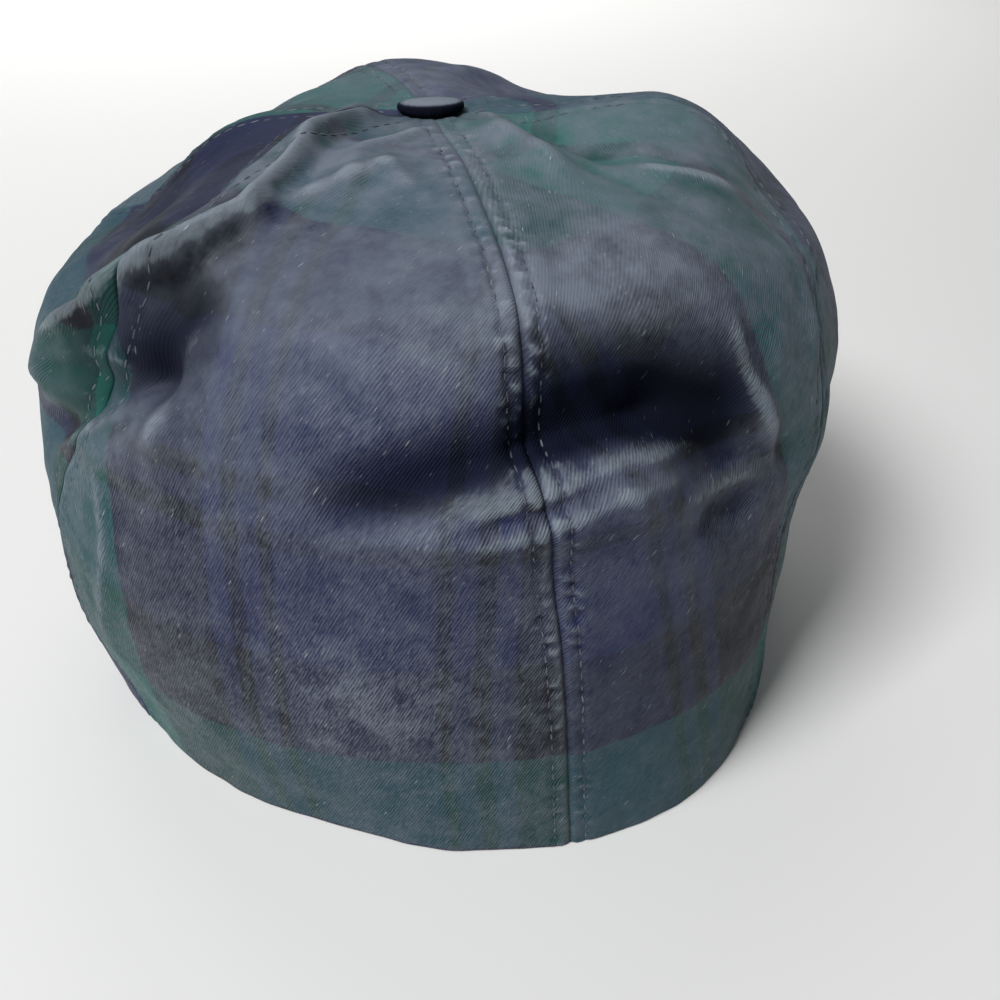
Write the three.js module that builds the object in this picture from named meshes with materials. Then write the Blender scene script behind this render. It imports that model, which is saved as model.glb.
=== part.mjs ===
// A soft cap of six waxed cloth panels with a covered button, standing on its rim.
// Millimetres. +Z is up, +Y points to the forehead, -Y to the back and +X to the right, seen from behind.
// An azimuth is in degrees from the back towards the right. A level is a share of the way up a panel,
// from 0 at the rim to 1 at the crown's centre.
import * as THREE from 'three';

// Driving dimensions
const HALF_WIDTH = 98.5;
const HALF_LENGTH = 100.5;
const HEIGHT = 139;
const CROWN_LEAN = 6;
const CLOTH_THICKNESS = 1.6;
const SEAM_GAP = 0.3;
const BULGE_HEIGHT = 10;
const FOLD_DEPTH = 10;
const FOLD_WIDTH = 6.5;
const CROWN_HOLE_RADIUS = 4;
const BUTTON_RADIUS = 7.8;
const BUTTON_HEIGHT = 3.8;
const BUTTON_EDGE_RADIUS = 1.1;
const BUTTON_CLEARANCE = 0.3;

// Shares and counts
const LEAN_START_LEVEL = 0.3;
const LEAN_POWER = 1.5;
const RIM_BLEND_LEVEL = 0.1;
const CALM_CROWN_SPREAD = 2.6;
const DIFFERENCE_LEVEL = 0.002;
const DIFFERENCE_AZIMUTH = 0.25;
const BUTTON_SIDES = 28;
const BUTTON_EDGE_STEPS = 3;
const BUTTON_DOME_STEPS = 5;
const SEAT_STEPS = 6;

// One meridian of the crown before it is dented. along is the level, reach a share of the half width and
// half length, rise a share of the height.
const PROFILE = [
  { along: 0.0, reach: 0.955, rise: 0.0 },
  { along: 0.08, reach: 0.972, rise: 0.115 },
  { along: 0.18, reach: 0.99, rise: 0.26 },
  { along: 0.3, reach: 1.0, rise: 0.43 },
  { along: 0.4, reach: 0.992, rise: 0.57 },
  { along: 0.49, reach: 0.965, rise: 0.7 },
  { along: 0.56, reach: 0.918, rise: 0.8 },
  { along: 0.63, reach: 0.83, rise: 0.885 },
  { along: 0.7, reach: 0.705, rise: 0.94 },
  { along: 0.78, reach: 0.545, rise: 0.972 },
  { along: 0.87, reach: 0.34, rise: 0.988 },
  { along: 0.94, reach: 0.16, rise: 0.99 },
  { along: 1.0, reach: 0.0, rise: 0.985 },
];

// Broad bulges and sunk places. swing is the half width in degrees, span the half height as a level, lift
// a share of the bulge height, outwards.
const BULGES = [
  { place: 'left shoulder, sunk', azimuth: -94, level: 0.67, swing: 26, span: 0.12, lift: -1.08 },
  { place: 'front left of the crown, sunk', azimuth: -135, level: 0.7, swing: 24, span: 0.13, lift: -0.8 },
  { place: 'front hump', azimuth: 176, level: 0.76, swing: 24, span: 0.12, lift: 0.45 },
  { place: 'front right of the crown, sunk', azimuth: 136, level: 0.74, swing: 20, span: 0.14, lift: -0.6 },
  { place: 'roll above the back dent', azimuth: 0, level: 0.62, swing: 34, span: 0.07, lift: 0.35 },
  { place: 'lip below the back dent', azimuth: -4, level: 0.455, swing: 26, span: 0.045, lift: 0.35 },
  { place: 'left overhang', azimuth: -66, level: 0.505, swing: 15, span: 0.05, lift: 0.45 },
  { place: 'left wall', azimuth: -85, level: 0.2, swing: 25, span: 0.14, lift: 0.2 },
  { place: 'right wall, drawn in', azimuth: 66, level: 0.26, swing: 34, span: 0.2, lift: -0.6 },
  { place: 'right of the rim, drawn in', azimuth: 64, level: 0.06, swing: 26, span: 0.1, lift: -0.5 },
  { place: 'back left of the rim, drawn in', azimuth: -40, level: 0, swing: 30, span: 0.12, lift: -0.6 },
  { place: 'back right of the rim', azimuth: 24, level: 0, swing: 20, span: 0.12, lift: 0.3 },
];

// Folds, each along a line between two places. width is a share of the fold width, depth a share of the
// fold depth, inwards, so a ridge has a negative depth.
const FOLDS = [
  { place: 'back dent, left half', from: [-22, 0.474], to: [0, 0.522], width: 1, depth: 0.8 },
  { place: 'back dent, right half', from: [0, 0.527], to: [29, 0.521], width: 1.08, depth: 1 },
  { place: 'lip of the back dent', from: [-14, 0.45], to: [24, 0.498], width: 0.8, depth: -0.2 },
  { place: 'pucker right of the back dent', from: [16, 0.463], to: [36, 0.44], width: 0.8, depth: 0.35 },
  { place: 'under the left overhang', from: [-78, 0.41], to: [-42, 0.55], width: 0.92, depth: 0.8 },
  { place: 'hollow beside the left seam', from: [-44, 0.65], to: [-52, 0.54], width: 1.5, depth: 0.55 },
  { place: 'left seam ridge, top', from: [-75, 0.97], to: [-60, 0.84], width: 0.77, depth: -0.3 },
  { place: 'left seam ridge, upper', from: [-62, 0.87], to: [-48, 0.73], width: 0.77, depth: -0.4 },
  { place: 'left seam ridge, lower', from: [-48, 0.74], to: [-57, 0.6], width: 0.77, depth: -0.4 },
  { place: 'roll of the left overhang', from: [-57, 0.62], to: [-80, 0.52], width: 0.77, depth: -0.35 },
  { place: 'right ridge, top', from: [70, 0.985], to: [23, 0.9], width: 0.6, depth: -0.25 },
  { place: 'right ridge, lower', from: [23, 0.92], to: [22, 0.8], width: 0.7, depth: -0.3 },
  { place: 'valley behind the right ridge', from: [60, 0.93], to: [40, 0.8], width: 0.92, depth: 0.4 },
];

// Seams, in the order of their azimuths. Each column is the seam's azimuth at that height.
const SEAM_LEVELS = { rim: 0, wall: 0.3, shoulder: 0.55, slope: 0.75, centre: 1 };
const SEAMS = [
  { seam: 'back', rim: 4, wall: 1, shoulder: -2, slope: -2, centre: -4 },
  { seam: 'right', rim: 44, wall: 40, shoulder: 51, slope: 76, centre: 74 },
  { seam: 'front right', rim: 120, wall: 120, shoulder: 120, slope: 122, centre: 122 },
  { seam: 'front', rim: 180, wall: 180, shoulder: 182, slope: 186, centre: 184 },
  { seam: 'front left', rim: 238, wall: 238, shoulder: 244, slope: 250, centre: 242 },
  { seam: 'left', rim: 290, wall: 286, shoulder: 304, slope: 312, centre: 292 },
];

// Panels, each from the seam of its own row to the next. columns is how finely it is cut across.
const PANELS = [
  { name: 'panel_back_right', columns: 18 },
  { name: 'panel_right', columns: 15 },
  { name: 'panel_front_right', columns: 10 },
  { name: 'panel_front_left', columns: 10 },
  { name: 'panel_left', columns: 16 },
  { name: 'panel_back_left', columns: 18 },
];

// How finely the panels are cut from the rim up.
const BANDS = [
  { upTo: 0.39, rows: 6 },
  { upTo: 0.57, rows: 9 },
  { upTo: 0.87, rows: 9 },
  { upTo: 1, rows: 3 },
];

const CLOTH_COLOR = 0x2c323a;
const BUTTON_COLOR = 0x24282f;
const CLOTH_ROUGHNESS = 0.78;
const FULL_TURN = 360;

function clampShare(value) {
  return Math.min(Math.max(value, 0), 1);
}

function smoothShare(value) {
  const t = clampShare(value);
  return t * t * (3 - 2 * t);
}

// The signed angle from one azimuth to another, at most half a turn.
function turnBetween(from, to) {
  return THREE.MathUtils.euclideanModulo(to - from + FULL_TURN / 2, FULL_TURN) - FULL_TURN / 2;
}

// Slope of a table's column at one row, from the rows on both sides of it.
function slopeAt(xs, ys, i) {
  const last = xs.length - 1;
  const before = i > 0 ? (ys[i] - ys[i - 1]) / (xs[i] - xs[i - 1]) : null;
  const after = i < last ? (ys[i + 1] - ys[i]) / (xs[i + 1] - xs[i]) : null;
  if (before === null) return after;
  if (after === null) return before;
  const stepBefore = xs[i] - xs[i - 1];
  const stepAfter = xs[i + 1] - xs[i];
  return (before * stepAfter + after * stepBefore) / (stepBefore + stepAfter);
}

// Smooth curve through the points (xs, ys), read at x.
function curveAt(xs, ys, x) {
  let i = 0;
  while (i < xs.length - 2 && x > xs[i + 1]) i += 1;
  const step = xs[i + 1] - xs[i];
  const t = (x - xs[i]) / step;
  const startWeight = 2 * t ** 3 - 3 * t ** 2 + 1;
  const endWeight = 1 - startWeight;
  const startSlope = slopeAt(xs, ys, i) * (t ** 3 - 2 * t ** 2 + t) * step;
  const endSlope = slopeAt(xs, ys, i + 1) * (t ** 3 - t ** 2) * step;
  return startWeight * ys[i] + endWeight * ys[i + 1] + startSlope + endSlope;
}

const ALONG = PROFILE.map((row) => row.along);
const REACH = PROFILE.map((row) => row.reach);
const RISE = PROFILE.map((row) => row.rise);

function reachAt(level) {
  return curveAt(ALONG, REACH, level);
}

// Distance from the crown's axis to the cloth, halfway between the cap's width and its length.
function radiusAt(level) {
  return reachAt(level) * (HALF_WIDTH + HALF_LENGTH) / 2;
}

// The level near the crown's centre where the cloth is this far from the axis.
function levelAtRadius(radius) {
  let low = PROFILE[PROFILE.length - 4].along;
  let high = 1;
  while (high - low > 1e-6) {
    const middle = (low + high) / 2;
    if (radiusAt(middle) > radius) low = middle;
    else high = middle;
  }
  return (low + high) / 2;
}

// Length of one meridian, which turns a level into millimetres.
function meridianLength() {
  let length = 0;
  for (let i = 1; i < PROFILE.length; i += 1) {
    const out = (REACH[i] - REACH[i - 1]) * (HALF_WIDTH + HALF_LENGTH) / 2;
    const up = (RISE[i] - RISE[i - 1]) * HEIGHT;
    length += Math.hypot(out, up);
  }
  return length;
}

const MERIDIAN_LENGTH = meridianLength();

function undentedPoint(azimuth, level) {
  const angle = THREE.MathUtils.degToRad(azimuth);
  const reach = reachAt(level);
  const leanShare = clampShare((level - LEAN_START_LEVEL) / (1 - LEAN_START_LEVEL));
  return new THREE.Vector3(
    HALF_WIDTH * reach * Math.sin(angle),
    -HALF_LENGTH * reach * Math.cos(angle) + CROWN_LEAN * leanShare ** LEAN_POWER,
    HEIGHT * curveAt(ALONG, RISE, level),
  );
}

// Outward normal of a surface function at a place. It lies level at the rim, so that the rim stays flat.
function normalOf(pointAt, azimuth, level) {
  const right = pointAt(azimuth + DIFFERENCE_AZIMUTH, level);
  right.sub(pointAt(azimuth - DIFFERENCE_AZIMUTH, level));
  const upper = pointAt(azimuth, Math.min(level + DIFFERENCE_LEVEL, 1));
  upper.sub(pointAt(azimuth, Math.max(level - DIFFERENCE_LEVEL, 0)));
  const normal = right.cross(upper).normalize();
  normal.z *= clampShare(level / RIM_BLEND_LEVEL);
  return normal.normalize();
}

function bulgeLift(azimuth, level) {
  let lift = 0;
  for (const bulge of BULGES) {
    const across = turnBetween(bulge.azimuth, azimuth) / bulge.swing;
    const up = (level - bulge.level) / bulge.span;
    lift += bulge.lift * BULGE_HEIGHT * Math.exp(-across * across - up * up);
  }
  return lift;
}

function foldLift(azimuth, level) {
  const millimetresPerDegree = THREE.MathUtils.degToRad(radiusAt(level));
  let lift = 0;
  for (const fold of FOLDS) {
    const here = new THREE.Vector2(
      turnBetween(fold.from[0], azimuth) * millimetresPerDegree,
      (level - fold.from[1]) * MERIDIAN_LENGTH,
    );
    const line = new THREE.Vector2(
      turnBetween(fold.from[0], fold.to[0]) * millimetresPerDegree,
      (fold.to[1] - fold.from[1]) * MERIDIAN_LENGTH,
    );
    const alongShare = here.dot(line) / line.lengthSq();
    const beside = here.cross(line) / line.length() / (fold.width * FOLD_WIDTH);
    lift -= fold.depth * FOLD_DEPTH * Math.exp(-((2 * alongShare - 1) ** 4) - beside * beside);
  }
  return lift;
}

// Outer face of the cloth. The crown stays calm around the button, so that the button can seat.
function outerPoint(azimuth, level) {
  const calmStart = BUTTON_RADIUS * CALM_CROWN_SPREAD;
  const calm = smoothShare((radiusAt(level) - BUTTON_RADIUS) / (calmStart - BUTTON_RADIUS));
  const lift = calm * (bulgeLift(azimuth, level) + foldLift(azimuth, level));
  const normal = normalOf(undentedPoint, azimuth, level);
  return undentedPoint(azimuth, level).addScaledVector(normal, lift);
}

function innerPoint(azimuth, level) {
  const normal = normalOf(outerPoint, azimuth, level);
  return outerPoint(azimuth, level).addScaledVector(normal, -CLOTH_THICKNESS);
}

function seamAzimuth(seam, level) {
  const levels = Object.values(SEAM_LEVELS);
  const azimuths = Object.keys(SEAM_LEVELS).map((height) => seam[height]);
  return curveAt(levels, azimuths, level);
}

// The levels of a panel's rows, from the rim to the small ring where the panels' tips meet.
function rowLevels() {
  const tipLevel = levelAtRadius(CROWN_HOLE_RADIUS);
  const levels = [0];
  let bandStart = 0;
  for (const band of BANDS) {
    for (let row = 1; row <= band.rows; row += 1) {
      levels.push((bandStart + (band.upTo - bandStart) * row / band.rows) * tipLevel);
    }
    bandStart = band.upTo;
  }
  return levels;
}

// A closed sheet from a grid of outer and inner points, both listed row by row.
function closedSheet(outer, inner, columns, rows) {
  const points = [...outer, ...inner];
  const across = columns + 1;
  const innerStart = outer.length;
  const triangles = [];
  const addFace = (a, b, c, d) => triangles.push(a, b, c, a, c, d);
  for (let row = 0; row < rows; row += 1) {
    for (let column = 0; column < columns; column += 1) {
      const a = row * across + column;
      addFace(a, a + 1, a + 1 + across, a + across);
      const b = innerStart + a;
      addFace(b + across, b + across + 1, b + 1, b);
    }
  }
  for (let column = 0; column < columns; column += 1) {
    const low = column;
    addFace(low, low + innerStart, low + innerStart + 1, low + 1);
    const high = rows * across + column;
    addFace(high + 1, high + 1 + innerStart, high + innerStart, high);
  }
  for (let row = 0; row < rows; row += 1) {
    const left = row * across;
    addFace(left + across, left + across + innerStart, left + innerStart, left);
    const right = left + columns;
    addFace(right, right + innerStart, right + across + innerStart, right + across);
  }
  const geometry = new THREE.BufferGeometry();
  geometry.setAttribute('position', new THREE.Float32BufferAttribute(points.flatMap((p) => p.toArray()), 3));
  geometry.setIndex(triangles);
  geometry.computeVertexNormals();
  return geometry;
}

function panelGeometry(firstSeam, secondSeam, secondSeamTurn, columns) {
  const levels = rowLevels();
  const outer = [];
  const inner = [];
  for (const level of levels) {
    const halfGap = THREE.MathUtils.radToDeg(SEAM_GAP / 2 / radiusAt(level));
    const first = seamAzimuth(firstSeam, level) + halfGap;
    const second = seamAzimuth(secondSeam, level) + secondSeamTurn - halfGap;
    for (let column = 0; column <= columns; column += 1) {
      const azimuth = THREE.MathUtils.lerp(first, second, column / columns);
      outer.push(outerPoint(azimuth, level));
      inner.push(innerPoint(azimuth, level));
    }
  }
  return closedSheet(outer, inner, columns, levels.length - 1);
}

function makePanel(index) {
  const panel = PANELS[index];
  const isLast = index === PANELS.length - 1;
  const nextSeam = SEAMS[(index + 1) % SEAMS.length];
  const geometry = panelGeometry(SEAMS[index], nextSeam, isLast ? FULL_TURN : 0, panel.columns);
  const material = new THREE.MeshStandardMaterial({ color: CLOTH_COLOR, roughness: CLOTH_ROUGHNESS, metalness: 0 });
  const mesh = new THREE.Mesh(geometry, material);
  mesh.name = panel.name;
  return mesh;
}

// Highest cloth under the button, from its edge to the crown's centre.
function buttonSeatHeight() {
  const edgeLevel = levelAtRadius(BUTTON_RADIUS + BUTTON_CLEARANCE);
  let highest = 0;
  for (let step = 0; step < SEAT_STEPS; step += 1) {
    const level = THREE.MathUtils.lerp(edgeLevel, 1, step / SEAT_STEPS);
    for (let azimuth = 0; azimuth < FULL_TURN; azimuth += FULL_TURN / BUTTON_SIDES) {
      highest = Math.max(highest, outerPoint(azimuth, level).z);
    }
  }
  return highest;
}

function makeButton() {
  const profile = [new THREE.Vector2(0, 0)];
  const flatRadius = BUTTON_RADIUS - BUTTON_EDGE_RADIUS;
  for (let step = 0; step <= BUTTON_EDGE_STEPS; step += 1) {
    const angle = -Math.PI / 2 + (Math.PI / 2) * (step / BUTTON_EDGE_STEPS);
    profile.push(new THREE.Vector2(
      flatRadius + BUTTON_EDGE_RADIUS * Math.cos(angle),
      BUTTON_EDGE_RADIUS + BUTTON_EDGE_RADIUS * Math.sin(angle),
    ));
  }
  for (let step = 1; step <= BUTTON_DOME_STEPS; step += 1) {
    const angle = (Math.PI / 2) * (step / BUTTON_DOME_STEPS);
    const radius = step === BUTTON_DOME_STEPS ? 0 : BUTTON_RADIUS * Math.cos(angle);
    const rise = (BUTTON_HEIGHT - BUTTON_EDGE_RADIUS) * Math.sin(angle);
    profile.push(new THREE.Vector2(radius, BUTTON_EDGE_RADIUS + rise));
  }
  const geometry = new THREE.LatheGeometry(profile, BUTTON_SIDES);
  geometry.rotateX(Math.PI / 2);
  const material = new THREE.MeshStandardMaterial({ color: BUTTON_COLOR, roughness: CLOTH_ROUGHNESS, metalness: 0 });
  const mesh = new THREE.Mesh(geometry, material);
  mesh.name = 'button';
  mesh.position.set(0, CROWN_LEAN, buttonSeatHeight() + BUTTON_CLEARANCE);
  return mesh;
}

const cap = new THREE.Group();
PANELS.forEach((panel, index) => cap.add(makePanel(index)));
cap.add(makeButton());

// The origin is the middle of the box that the cap fills, on the surface that its rim stands on.
const box = new THREE.Box3().setFromObject(cap);
const middle = box.getCenter(new THREE.Vector3());
cap.position.set(-middle.x, -middle.y, -box.min.z);

export default cap;
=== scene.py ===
"""A soft cap of six waxed tartan panels with a covered button, standing on its rim.

Lengths are in millimetres until a mesh is made, azimuths in degrees from the back towards the right,
and a level is a share of the way up a panel, from 0 at the rim to 1 at the crown's centre.
"""
import math
import bpy
import numpy as np
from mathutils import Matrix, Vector


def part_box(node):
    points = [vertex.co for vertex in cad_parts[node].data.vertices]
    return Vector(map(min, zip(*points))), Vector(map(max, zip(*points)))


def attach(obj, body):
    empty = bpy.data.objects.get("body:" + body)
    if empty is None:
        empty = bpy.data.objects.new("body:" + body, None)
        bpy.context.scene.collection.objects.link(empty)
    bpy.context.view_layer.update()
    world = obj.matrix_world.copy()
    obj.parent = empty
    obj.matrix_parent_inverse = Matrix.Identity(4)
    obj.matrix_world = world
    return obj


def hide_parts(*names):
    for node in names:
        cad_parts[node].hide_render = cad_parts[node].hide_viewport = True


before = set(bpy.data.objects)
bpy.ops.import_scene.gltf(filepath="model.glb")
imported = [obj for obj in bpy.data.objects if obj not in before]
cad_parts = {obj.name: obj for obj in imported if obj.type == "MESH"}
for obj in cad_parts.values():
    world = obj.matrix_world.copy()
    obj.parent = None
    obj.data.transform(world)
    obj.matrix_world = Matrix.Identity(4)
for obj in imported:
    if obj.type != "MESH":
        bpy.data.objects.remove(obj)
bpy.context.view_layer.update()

MM = 0.001

# Sizes of the cap
HALF_WIDTH = 98.5
HALF_LENGTH = 100.5
MEAN_HALF = (HALF_WIDTH + HALF_LENGTH) / 2
HEIGHT = 139
CROWN_LEAN = 6
LEAN_START_LEVEL = 0.3
LEAN_POWER = 1.5
RIM_BLEND_LEVEL = 0.1
BULGE_HEIGHT = 10
FOLD_DEPTH = 10
FOLD_WIDTH = 6.5
BUTTON_RADIUS = 7.8
BUTTON_HEIGHT = 3.8
BUTTON_FORWARD_SLOPE = 0.58
BUTTON_EDGE_RADIUS = 1.3
BUTTON_DOME = 0.9
BUTTON_CLOTH_RISE = 47
BUTTON_TWILL_CLIMB = 60
BUTTON_GATHERS = 18
BUTTON_GATHER_SHARE = 0.012
BUTTON_GATHER_TURN = 0.7
# depths below the button's top: full painted shade below the first, full painted highlight above the second
BUTTON_PAINTED_LIGHT_DEPTHS = (1.5, 0.7)
BUTTON_BLOOM = 2.0
BUTTON_WEAVE = 0.4
CALM_CROWN_SPREAD = 2.6

# Sizes of the cloth and its sewing
CLOTH = 1.6
SEAM_GAP = 0.02
TIP_RADIUS = 2.0
ALLOWANCE = 8.0
ALLOWANCE_THICKNESS = 0.55
HEM_DEPTH = 15.0
HEM_THICKNESS = 0.6
LAYER_EDGE = 0.8
RIM_ROUND = 0.75
RIM_TAPER = 3
STITCH_SETBACK = 3.5
STITCH_PITCH = 3.3
STITCH_LENGTH = 2.3
STITCH_WIDTH = 0.44
STITCH_HEIGHT = 0.28
STITCH_SWAY = 0.14
STITCH_SEED = 5
STITCH_START = 3.0
STITCH_END_LEVEL = 0.955
STITCH_STANDOFF = 0.02

# What a topstitched seam does to the cloth beside it
GROOVE_DEPTH = 0.42
GROOVE_WIDTH = 0.6
ROLL_HEIGHT = 0.07
ROLL_SETBACK = 1.5
ROLL_WIDTH = 0.8
SINK_DEPTH = 0.26
SINK_WIDTH = 0.6
DOUBLED_HEIGHT = 0.2
PUCKER_HEIGHT = 0.5
PUCKER_SETBACK = STITCH_SETBACK - 0.4
PUCKER_WIDTH = 2.0
PUCKER_SKEW = 0.7
PUCKERS = [
    # length, share of the pucker height
    (11.5, 0.22),
    (7.1, 0.3),
    (4.3, 0.34),
    (3.3, 0.36),
]
GATHERED = 0.62
GATHERS = [
    # length over which the puckers tighten and ease, and by how much
    (61, 0.3),
    (27, 0.2),
]

# Small pleats that radiate from under the button
PLEATS = 11
PLEAT_TURN = 1.3
PLEAT_HEIGHT = 0.3
PLEAT_RADIUS = 14
PLEAT_SPREAD = 7

# How finely a panel is divided
RIM_ROWS = (0, 0.08, 0.22, 0.42, 0.75, 1.2)
FIRST_FULL_ROW = 2
ROW_STEP = 1.0
EDGE_COLUMNS = 17
EDGE_SHARE = 0.11
MIDDLE_COLUMNS = 66
NORMAL_AZIMUTH_STEP = 0.25
NORMAL_LEVEL_STEP = 0.002
SLANT_STEP = 0.01
BUTTON_SIDES = 96
BUTTON_EDGE_ROWS = 8
BUTTON_TOP_ROWS = 12
BUTTON_UNDERSIDE_START = 0.6

# The twill and what lies on it
TWILL_PITCH = 0.6
UV_SCALE = 0.01

# How the folds, the sags and the wax change the cloth's colour, with painted shade in the valleys and sags
FINE_CREST_REACH = 2
FINE_CREST_GAIN = 2.4
BROAD_CREST_REACH = 4
BROAD_CREST_GAIN = 0.6
CROWN_CREST_GAIN = 0.9
CROWN_CREST_LEVELS = (0.6, 0.74)
RUBBED_GAIN = 0.07
# the valleys are painted darker, as painted shade, down to this crest share
LOWEST_CREST = -0.55
# painted shade in the sharp sags: the sag depth for full shade, and the share taken off before the shade
# starts
PAINTED_SHADE_SAG = 5.5
PAINTED_SHADE_START = 0.12
FULL_BLOOM = 2

# One meridian of the crown before it is dented
PROFILE = np.array([
    # along, reach, rise
    (0.0, 0.955, 0.0),
    (0.08, 0.972, 0.115),
    (0.18, 0.99, 0.26),
    (0.3, 1.0, 0.43),
    (0.4, 0.992, 0.57),
    (0.49, 0.965, 0.7),
    (0.56, 0.918, 0.8),
    (0.63, 0.83, 0.885),
    (0.7, 0.705, 0.94),
    (0.78, 0.545, 0.972),
    (0.87, 0.34, 0.988),
    (0.94, 0.16, 0.99),
    (1.0, 0.0, 0.985),
])

BULGES = [
    # azimuth, level, swing, span, lift as a share of the bulge height
    (-94, 0.67, 26, 0.12, -1.08),
    (-135, 0.7, 24, 0.13, -0.8),
    (176, 0.76, 24, 0.12, 0.33),
    (136, 0.74, 20, 0.14, -0.6),
    (0, 0.62, 34, 0.07, 0.35),
    (-4, 0.455, 26, 0.045, 0.35),
    (-66, 0.505, 15, 0.05, 0.45),
    (-85, 0.2, 25, 0.14, 0.2),
    (66, 0.26, 34, 0.2, -0.6),
    (64, 0.06, 26, 0.1, -0.5),
    (-40, 0.0, 30, 0.12, -0.6),
    (24, 0.0, 20, 0.12, 0.3),
    (83, 0.785, 19, 0.075, 0.42),
    (134, 0.82, 14, 0.06, -0.3),
    (-114, 0.61, 15, 0.05, -0.4),
    (-86, 0.73, 18, 0.06, -0.3),
    (66, 0.655, 15, 0.05, -0.4),
    (66, 0.45, 20, 0.08, 0.22),
    (45, 0.42, 10, 0.06, 0.2),
    (-68, 0.6, 12, 0.04, -0.2),
    (-74, 0.545, 10, 0.03, -0.25),
    (-72, 0.475, 10, 0.028, 0.3),
]

FOLDS = [
    # from azimuth, level, to azimuth, level, width and depth as shares of the fold width and depth
    (-14, 0.45, 24, 0.498, 0.8, -0.2),
    (16, 0.463, 36, 0.44, 0.8, 0.35),
    (-78, 0.41, -44, 0.57, 0.92, 0.8),
    (-75, 0.97, -60, 0.84, 0.77, -0.3),
    (-62, 0.87, -48, 0.73, 0.77, -0.4),
    (-48, 0.74, -57, 0.6, 0.77, -0.4),
    (-57, 0.62, -80, 0.52, 0.77, -0.35),
    (70, 0.985, 23, 0.9, 0.6, -0.25),
    (23, 0.92, 22, 0.8, 0.7, -0.3),
    (60, 0.93, 40, 0.8, 0.92, 0.4),
]

LEDGES = [
    # from azimuth, level, to azimuth, level, widths on either side, depth: sags with one sharper edge
    (-25, 0.47, 1, 0.528, 1.3, 0.7, 0.58),
    (-3, 0.526, 16, 0.542, 2.1, 0.85, 0.9),
    (12, 0.545, 28, 0.483, 2.0, 1.2, 0.8),
    (-44, 0.65, -52, 0.54, 1.6, 1.1, 0.48),
]

CREASES = [
    # finer folds, in the same columns
    (-10, 0.46, 6, 0.484, 0.28, 0.22),
    (-13, 0.482, -2, 0.502, 0.42, -0.14),
    (5, 0.505, 12, 0.43, 0.5, -0.1),
    (4, 0.492, 20, 0.478, 0.3, 0.12),
    (26, 0.59, 30, 0.5, 0.4, -0.17),
    (29, 0.53, 33, 0.43, 0.4, -0.17),
    (19, 0.412, 29, 0.4, 0.8, 0.3),
    (17, 0.44, 33, 0.435, 0.4, -0.12),
    (-72, 0.95, -49, 0.82, 0.4, -0.2),
    (-50, 0.84, -43, 0.72, 0.4, -0.24),
    (-43, 0.745, -52, 0.64, 0.4, -0.24),
    (-50, 0.66, -60, 0.59, 0.4, -0.22),
    (-57, 0.61, -74, 0.535, 0.4, -0.2),
    (-72, 0.95, -49, 0.82, 0.28, -0.1),
    (-50, 0.84, -43, 0.72, 0.28, -0.12),
    (-43, 0.745, -52, 0.64, 0.28, -0.12),
    (-50, 0.66, -60, 0.59, 0.28, -0.12),
    (-57, 0.61, -74, 0.535, 0.28, -0.12),
    (-74, 0.4, -52, 0.52, 0.35, -0.2),
    (-70, 0.5, -56, 0.54, 0.55, 0.25),
    (-58, 0.44, -58, 0.32, 0.4, -0.1),
    (-58, 0.35, -65, 0.19, 0.4, -0.09),
    (-45, 0.735, -37, 0.79, 0.5, -0.14),
    (-38, 0.785, -24, 0.848, 0.5, -0.14),
    (-25, 0.845, -17, 0.8, 0.45, -0.1),
    (-12, 0.955, -41, 0.88, 0.4, -0.14),
    (-40, 0.885, -31, 0.8, 0.45, -0.11),
    (-32, 0.957, -50, 0.9, 0.4, 0.14),
    (-43, 0.62, -48, 0.49, 0.55, -0.2),
    (-50, 0.31, -33, 0.335, 0.3, -0.03),
    (-34, 0.38, -10, 0.16, 0.9, -0.08),
    (-66, 0.5, -82, 0.45, 0.4, 0.16),
    (-60, 0.54, -72, 0.5, 0.35, 0.14),
    (40, 0.78, 52, 0.68, 0.5, -0.15),
    (30, 0.83, 34, 0.7, 0.5, 0.1),
    (48, 0.62, 44, 0.5, 0.5, -0.12),
    (-5, 0.6, -16, 0.66, 0.6, -0.08),
    (-18, 0.55, -30, 0.6, 0.6, 0.08),
    (150, 0.5, 185, 0.47, 0.7, 0.22),
    (165, 0.46, 200, 0.44, 0.6, -0.12),
    (215, 0.55, 236, 0.5, 0.6, 0.2),
    (100, 0.55, 122, 0.52, 0.6, 0.2),
    (95, 0.5, 112, 0.46, 0.5, -0.12),
    (200, 0.85, 214, 0.72, 0.6, -0.15),
    (160, 0.86, 150, 0.74, 0.6, -0.15),
]

WEAR = [
    # azimuth, level, swing, span, share: where the wax has bloomed more or less than elsewhere
    (30, 0.2, 20, 0.2, -0.6),
    (15, 0.65, 18, 0.06, 0.4),
    (-24, 0.22, 12, 0.1, 0.65),
    (-50, 0.27, 14, 0.12, -0.2),
    (-32, 0.4, 14, 0.06, -0.25),
    (-40, 0.06, 18, 0.07, -0.2),
    (12, 0.08, 16, 0.1, -0.3),
    (-40, 0.8, 16, 0.06, 0.7),
    (-5, 0.88, 30, 0.07, 0.3),
    (90, 0.78, 26, 0.08, 0.35),
    (-28, 0.6, 16, 0.06, -0.12),
    (-48, 0.44, 10, 0.05, -0.15),
    (-75, 0.5, 14, 0.09, 1.4),
    (-68, 0.6, 14, 0.04, 0.5),
    (19, 0.485, 14, 0.035, -0.05),
    (-49, 0.82, 9, 0.05, 0.9),
    (54, 0.8, 14, 0.07, 0.3),
    (38, 0.53, 8, 0.05, 0.45),
    (12, 0.64, 14, 0.06, 0.3),
    (-17, 0.26, 9, 0.06, 0.4),
    (9, 0.29, 8, 0.09, -0.4),
    (-53, 0.5, 7, 0.06, 0.35),
    (-38, 0.44, 6, 0.04, 0.3),
    (60, 0.66, 14, 0.06, -0.2),
    (60, 0.52, 18, 0.09, 0.8),
    (-6, 0.62, 10, 0.05, 0.15),
]

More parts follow.
